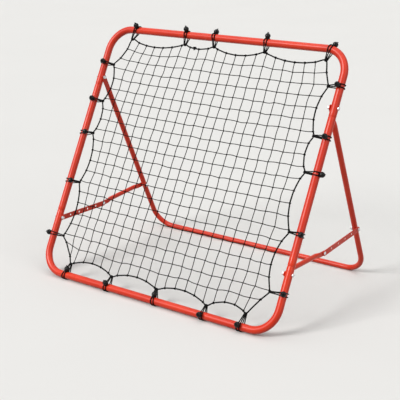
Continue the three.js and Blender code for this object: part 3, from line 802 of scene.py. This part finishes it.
# left and right: the outer face, and the face under the washer
for word, nodeWord, pivot, left, right, body in (
        ("Hinge", "hinge", hingePoint[1:], (loopOutside, hingeStack), (loopOutside, hingeStack),
         "main_frame"),
        ("FrontStay", "front_stay", frontStay, (loopOutside, frameInside - flatSeated),
         (loopOutside, frameInside - pressedSeated), "main_frame"),
        ("RearStay", "rear_stay", rearStay, (rearOutside + pressedSeated, rearStack),
         (rearOutside + flatSeated, rearStack), "rear_frame")):
    addFastener(f"left{word}", f"left_{nodeWord}", -1, pivot, *left, body)
    addFastener(f"right{word}", f"right_{nodeWord}", 1, pivot, *right, body)
print("fasteners built")

# Each tie: its share of half its side, how far inside the tube's centre line it holds the
# rope, where its ball sits round the tube (degrees from straight out towards the front),
# how far along the tube it slipped from its hook, where it falls among the net's strands on
# that side, and how deep the rope is drawn in before the next tie, anticlockwise.
ties = {
    "bottom": [
        (-0.759, 40, 158, -8, 61.3, 24), (-0.362, 37, 124, -6.5, 56.54, 21.5),
        (0.042, 38, 166, 5, 51.8, 24), (0.467, 32, 88, -2.5, 46.6, 23),
        (0.772, 42, 98, -6.5, 42.7, 2)],
    "right": [
        (-0.722, 48, 62, 2, 40.1, 27), (-0.300, 38, 53, -2, 35.15, 24.5),
        (0.120, 41, 12, 0.5, 30.47, 17), (0.377, 45, 79, -0.5, 27.34, 20),
        (0.735, 42, 93, 3.5, 23.1, 2)],
    "top": [
        (-0.845, 37, -26, -2, 21, 21), (-0.367, 32, 16, 1, 14.75, 21),
        (0.057, 32, -8, 6, 9.56, 13), (0.312, 34, 44, 1, 6.3, 22),
        (0.804, 34, 60, -11.5, 0, 9)],
    "left": [
        (-0.701, 42, 106, -3.5, 81.23, 20), (-0.395, 42, 105, -1, 77.71, 16),
        (-0.129, 41, 135, 4.5, 74.56, 22), (0.275, 46, 137, 2.5, 69.81, 23),
        (0.714, 45, 12, 0, 64.77, 6)],
}
tie = {
    "ball": 18.6, "ballSeat": 22.6,     # diameter, and its centre's distance from the tube's centre
    "pairGap": 0.3, "pairSpread": 3.3,  # the two cords, and how far they part over the tube
    "seamHeight": 0.15,                 # the mould's parting line
    "hole": 2.5, "holeEdge": 0.5, "holeDepth": 4,
    "rimAngle": 75,                     # degrees from the ball's middle up to the hole's rim
    "neck": (6.5, 14.6),                # the ring round the ball's neck: radius, height
    "knot": (1.7, -0.3, 0.5), "knotCord": 1.2,      # radius, height over the rim, wave
    "tailRises": (-0.5, 1.2, 2.6, 3.8), "tailCord": 1.15,
    "tailSpread": 0.35, "tailLean": 0.2,
}


def tiePlaces():
    halfWidth, halfLength, corner = loop["width"] / 2, loop["length"] / 2, loop["corner"]
    middle = np.array([0, halfLength])
    sides = {
        "bottom": ((0, -1), halfWidth, halfLength), "right": ((1, 0), halfLength, halfWidth),
        "top": ((0, 1), halfWidth, halfLength), "left": ((-1, 0), halfLength, halfWidth),
    }
    places = []
    for sideName, (out, halfSide, away) in sides.items():
        outward = np.array(out, float)
        along = leftOf(outward)
        for i, (share, reach, ballAngle, slip, strand, depth) in enumerate(ties[sideName]):
            place = share * halfSide
            past = math.copysign(max(0, abs(place) - (halfSide - corner)), place)
            spin = rotation(math.atan2(past, corner - reach))       # turned where it holds a bend
            direction, tangent = spin @ outward, spin @ along
            tube = middle + outward * (away - corner) + along * (place - past) + direction * corner
            places.append({
                "node": f"{sideName}_tie_{i + 1}", "name": f"{sideName}Tie{i + 1}", "tube": tube,
                "hook": tube - direction * reach, "direction": direction, "tangent": tangent,
                "reach": reach, "ball": math.radians(ballAngle), "slip": slip,
                "strand": strand, "depth": depth})
    return places


def tieLoop(place, offset, cordRadius):
    # Closed path of one cord: over the tube, down to the rope, round it and back
    big = loop["tube"] / 2 + cordRadius
    small = edgeCord["diameter"] / 2 + cordRadius
    reach = place["reach"]
    lean = math.acos((big - small) / reach)
    leaves = math.pi - lean         # where the cord leaves the tube
    over = [(big * math.cos(a), big * math.sin(a)) for a in np.linspace(-leaves, leaves, 33)]
    under = [(-reach + small * math.cos(a), small * math.sin(a))
             for a in np.linspace(leaves, math.pi + lean, 13)]

    def leg(start, end):
        return [(start[0] + (end[0] - start[0]) * t, start[1] + (end[1] - start[1]) * t)
                for t in np.linspace(0, 1, 12)[1:-1]]

    together = cordRadius + tie["pairGap"] / 2
    points = []
    for x, z in over + leg(over[-1], under[0]) + under + leg(under[-1], over[0]):
        towardsTube = max(0, (x + reach) / reach)
        apart = together + tie["pairSpread"] * min(1, towardsTube) ** 2
        points.append((x, math.copysign(apart, offset) + place["slip"] * towardsTube, z))
    return points


def ballProfile():
    # From the pole that faces the tube to the outer one, with a moulding seam round the
    # middle and a countersunk hole at the outer pole for the knotted cord ends.
    radius, hole, edge = tie["ball"] / 2, tie["hole"], tie["holeEdge"]
    profile = []
    for degrees in (-86, -76, -64, -52, -40, -28, -16, -6, -2.5, 2.5, 6, 16, 28, 40, 52, 62, 70):
        angle = math.radians(degrees)
        grown = radius + (tie["seamHeight"] if abs(degrees) < 3 else 0)
        profile.append((grown * math.cos(angle), grown * math.sin(angle)))
    rim = radius * math.sin(math.radians(tie["rimAngle"]))
    floor = rim - tie["holeDepth"]
    return profile + [(hole + edge, rim), (hole, rim - edge), (hole, floor), (0.3, floor)]


def addTie(place):
    cordRadius = elasticCord["diameter"] / 2
    axes = np.array([
        place["direction"] @ loopAxes[:2],
        place["tangent"] @ loopAxes[:2],
        loopAxes[2],
    ])      # out, along the tube, to the front
    origin = onLoop(*place["tube"])
    outward = np.array([math.cos(place["ball"]), 0, math.sin(place["ball"])])
    lengthways = np.array([0, 1.0, 0])
    sideways = np.cross(lengthways, outward)
    slipped = place["slip"] * (outward[0] * tie["ballSeat"] + place["reach"]) / place["reach"]

    def toWorld(points):
        return np.asarray(points) @ axes + origin

    def ringOf(radius, height, wave, count):
        return toWorld([outward * (height + wave * math.sin(3 * a)) + lengthways * slipped
                        + radius * (math.cos(a) * sideways + math.sin(a) * lengthways)
                        for a in fullTurn(count)])

    cords = [cordPart(toWorld(tieLoop(place, side, cordRadius)), axes[1], cordRadius, 12, True)
             for side in (-1, 1)]
    # the loop's end hooked over the ball's neck, and the cord's own ends knotted past the hole
    rim = tie["ballSeat"] + tie["ball"] / 2 * math.sin(math.radians(tie["rimAngle"]))
    cords.append(cordPart(ringOf(*tie["neck"], 0, 28), outward @ axes, cordRadius, 10, True))
    knotRadius, knotHeight, wave = tie["knot"]
    knot = ringOf(knotRadius, rim + knotHeight, wave, 18)
    cords.append(cordPart(knot, outward @ axes, tie["knotCord"], 8, True))
    for side in (-1, 1):
        tail = [outward * (rim + rise) + sideways * rise * tie["tailLean"]
                + lengthways * (slipped + side * (1.0 + rise * tie["tailSpread"]))
                for rise in tie["tailRises"]]
        cords.append(cordPart(toWorld(tail), sideways @ axes, tie["tailCord"], 8))
    centre = outward * tie["ballSeat"] + lengthways * slipped
    ball = lathePart(ballProfile(), toWorld([centre])[0], outward @ axes, 32)
    addPiece(place["name"], place["node"], "main_frame",
             [cords, [ball]], [elasticBlack, ballBlack], 50)


places = tiePlaces()
for place in places:
    addTie(place)
print("ball ties built")

net = {
    "strands": 20,          # inner strands each way, so 21 cells each way
    "shift": 0.9,           # mm, how unevenly the knots were pulled tight
    "lift": 0.4,            # mm, how far they stand out of the net's plane
    "bow": 0.8,             # mm, slack left in a mesh
    "seed": 11,
    "stepsPerCell": 5,
    "pull": 6.0,            # the rope's pull at first, where a strand's is 1
    "rounds": 14,           # of setting the rope's pull
    "change": (0.6, 1.7),   # the least and the most that a round multiplies it by
    "leastDepth": 0.5,      # mm
    "knot": (1.55, 0.95, 0.9),      # a crossing: turn's radius, share of the twine, flatness
    "hitch": (1.05, 0.45, 0.9),     # a strand's end: half its two turns' pitch, clearance, share
    "ropeStep": 1.6, "ropeEase": 0.55,      # mm between its points, and how round its bends are
    "ropeKnot": 7,          # the strand after which the rope's ends are joined
    "ropeKnotSize": (1.9, 1.7, 2.4), "ropeKnotCord": 0.9,
}


def settledNet():
    # The net as a set of taut strings: each knot lies where the pulls of its four strings
    # balance, and the rope's own pull sets how deep it is drawn in between two ties.
    last = net["strands"] + 1
    count = last + 1
    around = 4 * last

    def borderKnot(p):
        p %= around
        if p <= last:
            return p, 0
        if p <= 2 * last:
            return last, p - last
        if p <= 3 * last:
            return 3 * last - p, last
        return 0, around - p

    index = {(i, j): i * count + j for i in range(count) for j in range(count)}
    total = count * count
    chain, fixed = [], {}
    hooks = sorted(places, key=lambda item: item["strand"])
    for p in range(around):
        held = [h for h in hooks if abs(h["strand"] - p) < 1e-6]
        knot = index[borderKnot(p)]
        if held:
            fixed[knot] = held[0]["hook"]
        chain.append((float(p), knot))
        for h in hooks:
            if p < h["strand"] < p + 1:
                fixed[total] = h["hook"]
                chain.append((h["strand"], total))
                total += 1
    strings = []
    for i in range(count):
        for j in range(count):
            if j + 1 < count and 0 < i < last:
                strings.append((index[i, j], index[i, j + 1]))
            if i + 1 < count and 0 < j < last:
                strings.append((index[i, j], index[i + 1, j]))
    spans = []          # each span of rope between two ties
    for h, following in zip(hooks, hooks[1:] + hooks[:1]):
        end = following["strand"] + (around if following["strand"] <= h["strand"] else 0)
        # a depth belongs to the tie that comes first anticlockwise; the strands count clockwise
        spans.append({"start": h["strand"], "end": end, "depth": following["depth"],
                      "from": h["hook"], "to": following["hook"], "pull": net["pull"]})
    free = [k for k in range(total) if k not in fixed]
    row = {k: n for n, k in enumerate(free)}
    points = np.zeros((total, 2))
    for k, place in fixed.items():
        points[k] = place

    def pullOf(p):
        for span in spans:
            if span["start"] <= p < span["end"] or span["start"] <= p + around < span["end"]:
                return span["pull"]

    for _ in range(net["rounds"]):
        matrix, side = np.zeros((len(free), len(free))), np.zeros((len(free), 2))
        links = [(a, b, 1.0) for a, b in strings]
        for (p, a), (q, b) in zip(chain, chain[1:] + chain[:1]):
            links.append((a, b, pullOf(p) / ((q - p) % around)))
        for a, b, pull in links:
            for here, there in ((a, b), (b, a)):
                if here in row:
                    matrix[row[here], row[here]] += pull
                    if there in row:
                        matrix[row[here], row[there]] -= pull
                    else:
                        side[row[here]] += pull * points[there]
        points[free] = np.linalg.solve(matrix, side)
        for span in spans:
            inward = -leftOf(unit(span["to"] - span["from"]))
            start, end = span["start"], span["end"]
            within = [k for p, k in chain if start < p < end or start < p + around < end]
            depths = [(points[k] - span["from"]) @ inward for k in within]
            deepest = max(depths + [net["leastDepth"]])
            span["pull"] *= float(np.clip(deepest / span["depth"], *net["change"]))
    return points, index, [k for _, k in chain], [borderKnot(p) for p in range(around)]


def smoothLoop(corners, step):
    # A closed path through the corners, with its bends eased
    corners = np.asarray(corners)
    following = np.roll(corners, -1, 0)
    tangent = (following - np.roll(corners, 1, 0)) / 2
    path = []
    for k in range(len(corners)):
        a, b = corners[k], following[k]
        reach = np.linalg.norm(b - a)
        ta = unit(tangent[k]) * reach * net["ropeEase"]
        tb = unit(tangent[(k + 1) % len(corners)]) * reach * net["ropeEase"]
        for t in np.arange(0, 1, 1 / max(2, round(reach / step))):
            path.append((2 * t ** 3 - 3 * t ** 2 + 1) * a + (t ** 3 - 2 * t ** 2 + t) * ta
                        + (-2 * t ** 3 + 3 * t ** 2) * b + (t ** 3 - t ** 2) * tb)
    return np.array(path)


def twineTurn(centre, axis, radius, twineRadius, around=12, flatten=1.0):
    # One turn of twine round an axis that lies in the net
    axis = unit(axis)
    sideways = unit(np.cross(loopAxes[2], axis))
    upward = np.cross(axis, sideways)
    turn = [centre + radius * (math.cos(a) * sideways + flatten * math.sin(a) * upward)
            for a in fullTurn(around)]
    return cordPart(turn, axis, twineRadius, 6, True)


def addNet(points, index, border):
    last = net["strands"] + 1
    inner = range(1, last)
    radius, steps = netTwine["diameter"] / 2, net["stepsPerCell"]
    dice = random.Random(net["seed"])
    height = np.zeros(len(points))
    for i in inner:
        for j in inner:
            points[index[i, j]] += [dice.gauss(0, net["shift"]), dice.gauss(0, net["shift"])]
            height[index[i, j]] = dice.gauss(0, net["lift"])
    parts = []

    def strand(knots):
        path = []
        for a, b in zip(knots, knots[1:]):
            chord = points[b] - points[a]
            bow, lift = dice.gauss(0, net["bow"]), dice.gauss(0, net["bow"] / 2)
            for t in np.arange(steps) / steps:
                slack = math.sin(math.pi * t)
                across, up = points[a] + chord * t + unit(leftOf(chord)) * bow * slack
                path.append(onLoop(across, up, height[a] * (1 - t) + height[b] * t + lift * slack))
        path.append(onLoop(*points[knots[-1]]))
        parts.append(cordPart(path, loopAxes[2], radius, 8))

    for i in inner:
        strand([index[i, j] for j in range(last + 1)])
        strand([index[j, i] for j in range(last + 1)])

    # each crossing is a small tied knot
    knotRadius, knotTwine, flatness = net["knot"]
    for i in inner:
        for j in inner:
            k = index[i, j]
            slant = dice.uniform(-0.3, 0.3)
            for angle in (math.pi / 4 + slant, -math.pi / 4 + slant):
                axis = np.array([math.cos(angle), math.sin(angle)]) @ loopAxes[:2]
                parts.append(twineTurn(onLoop(*points[k], height[k]), axis, knotRadius,
                                       radius * knotTwine, 9, flatness))

    # and each strand ends in two hitches round the rope
    pitch, clearance, hitchTwine = net["hitch"]
    for p, knot in enumerate(border):
        if knot[0] in (0, last) and knot[1] in (0, last):
            continue
        before, after = border[p - 1], border[(p + 1) % len(border)]
        along = unit(points[index[after]] - points[index[before]])
        for shift in (-pitch, pitch):
            parts.append(twineTurn(onLoop(*(points[index[knot]] + along * shift)),
                                   along @ loopAxes[:2], edgeCord["diameter"] / 2 + clearance,
                                   radius * hitchTwine))
    addPiece("knottedNet", "net", "main_frame", [parts], [twineBlack], 60)


def addRope(points, index, ropeKnots, border):
    radius = edgeCord["diameter"] / 2
    path = smoothLoop([points[k] for k in ropeKnots], net["ropeStep"])
    rope = cordPart([onLoop(*point) for point in path], loopAxes[2], radius, 15, True, edgeCord)
    # its ends are joined in one knot
    a, b = (points[index[border[net["ropeKnot"] + k]]] for k in (0, 1))
    centre, chord = (a + b) / 2, unit(b - a)
    wide, high, deep = net["ropeKnotSize"]
    trefoil = []
    for t in fullTurn(72):
        x, y = math.sin(t) + 2 * math.sin(2 * t), math.cos(t) - 2 * math.cos(2 * t)
        across, up = centre + chord * x * wide + leftOf(chord) * y * high
        trefoil.append(onLoop(across, up, -math.sin(3 * t) * deep))
    knot = cordPart(trefoil, loopAxes[2] + 0.01, radius * net["ropeKnotCord"], 12, True)
    addPiece("edgeRope", "net_edge_rope", "main_frame",
             [[rope, knot]], [ropeBlack], 60)


settled, index, ropeKnots, border = settledNet()
addNet(settled, index, border)
addRope(settled, index, ropeKnots, border)
print("net and edge rope built")

studio = {
    "floor": "#e7e6e3", "floorCloud": "#e4e3e0",
    "bounce": "#84837f",        # what the floor throws back at the object
    "background": "#dcdcda",
    "ambient": 0.15, "ambientColour": "#f3f4f6",
    "floorReach": 30.0, "floorCells": 30,       # metres from the middle to an edge, squares
    "lamps": {                  # strength, width in degrees, where it stands in metres
        "keyLamp": (2.25, 24, (-1.1, -2.2, 1.9)),
        "skyLamp": (1.1, 75, (-0.3, 0.2, 2.6)),
        "fillLamp": (0.85, 60, (2.4, -0.3, 1.6)),
    },
}


def seenDirectly(tree):
    # 1 where the camera sees it, or sees it in metal or through glass
    rays = addNode(tree, "LightPath").outputs
    seen = rays["Is Camera Ray"]
    for ray in ("Is Glossy Ray", "Is Transmission Ray"):
        seen = addNode(tree, "Math", {0: seen, 1: rays[ray]}, operation="MAXIMUM").outputs[0]
    return seen


def paleFloor():
    # Painted matt screed: an even pale grey with faint clouds, so that shadows read softly.
    finish, tree, shader, place = newFinish("paleFloor", {
        "Roughness": 0.85, "Specular IOR Level": 0.2})
    cloud = addNode(tree, "TexNoise", {"Vector": place, "Scale": 1.5, "Detail": 2}).outputs["Fac"]
    seen = addNode(tree, "Mix", {
        0: cloud, 6: studio["floor"], 7: studio["floorCloud"]}, data_type="RGBA").outputs[2]
    colour = addNode(tree, "Mix", {
        0: seenDirectly(tree), 6: studio["bounce"], 7: seen}, data_type="RGBA").outputs[2]
    plug(tree, shader, {"Base Color": colour})
    return finish


def addFloor():
    mesh = bpy.data.meshes.new("floor")
    reach, cells = studio["floorReach"], studio["floorCells"]
    line = np.linspace(-reach, reach, cells + 1)
    corners = [row * (cells + 1) + k for row in range(cells) for k in range(cells)]
    mesh.from_pydata([(x, y, 0) for y in line for x in line], [],
                     [(k, k + 1, k + cells + 2, k + cells + 1) for k in corners])
    mesh.materials.append(paleFloor())
    addObject("floor", mesh)


def lightWorld():
    world = bpy.data.worlds.new("studio")
    bpy.context.scene.world = world
    world.use_nodes = True
    tree = world.node_tree
    light = tree.nodes["Background"]
    plug(tree, light, {"Color": studio["ambientColour"], "Strength": studio["ambient"]})
    backdrop = addNode(tree, "Background", {"Color": studio["background"], "Strength": 1.0})
    mixed = addNode(tree, "MixShader", {
        0: seenDirectly(tree), 1: light.outputs[0], 2: backdrop.outputs[0]})
    plug(tree, tree.nodes["World Output"], {"Surface": mixed.outputs[0]})


def softLamp(name, strength, degrees, place):
    data = bpy.data.lights.new(name, "SUN")
    data.energy = strength
    data.angle = math.radians(degrees)
    lamp = addObject(name, data)
    lamp.location = place
    lamp.rotation_euler = (-Vector(place)).to_track_quat("-Z", "Y").to_euler()


bpy.context.scene.view_settings.view_transform = "Standard"
addFloor()
lightWorld()
for name, lamp in studio["lamps"].items():
    softLamp(name, *lamp)
print("studio lit")
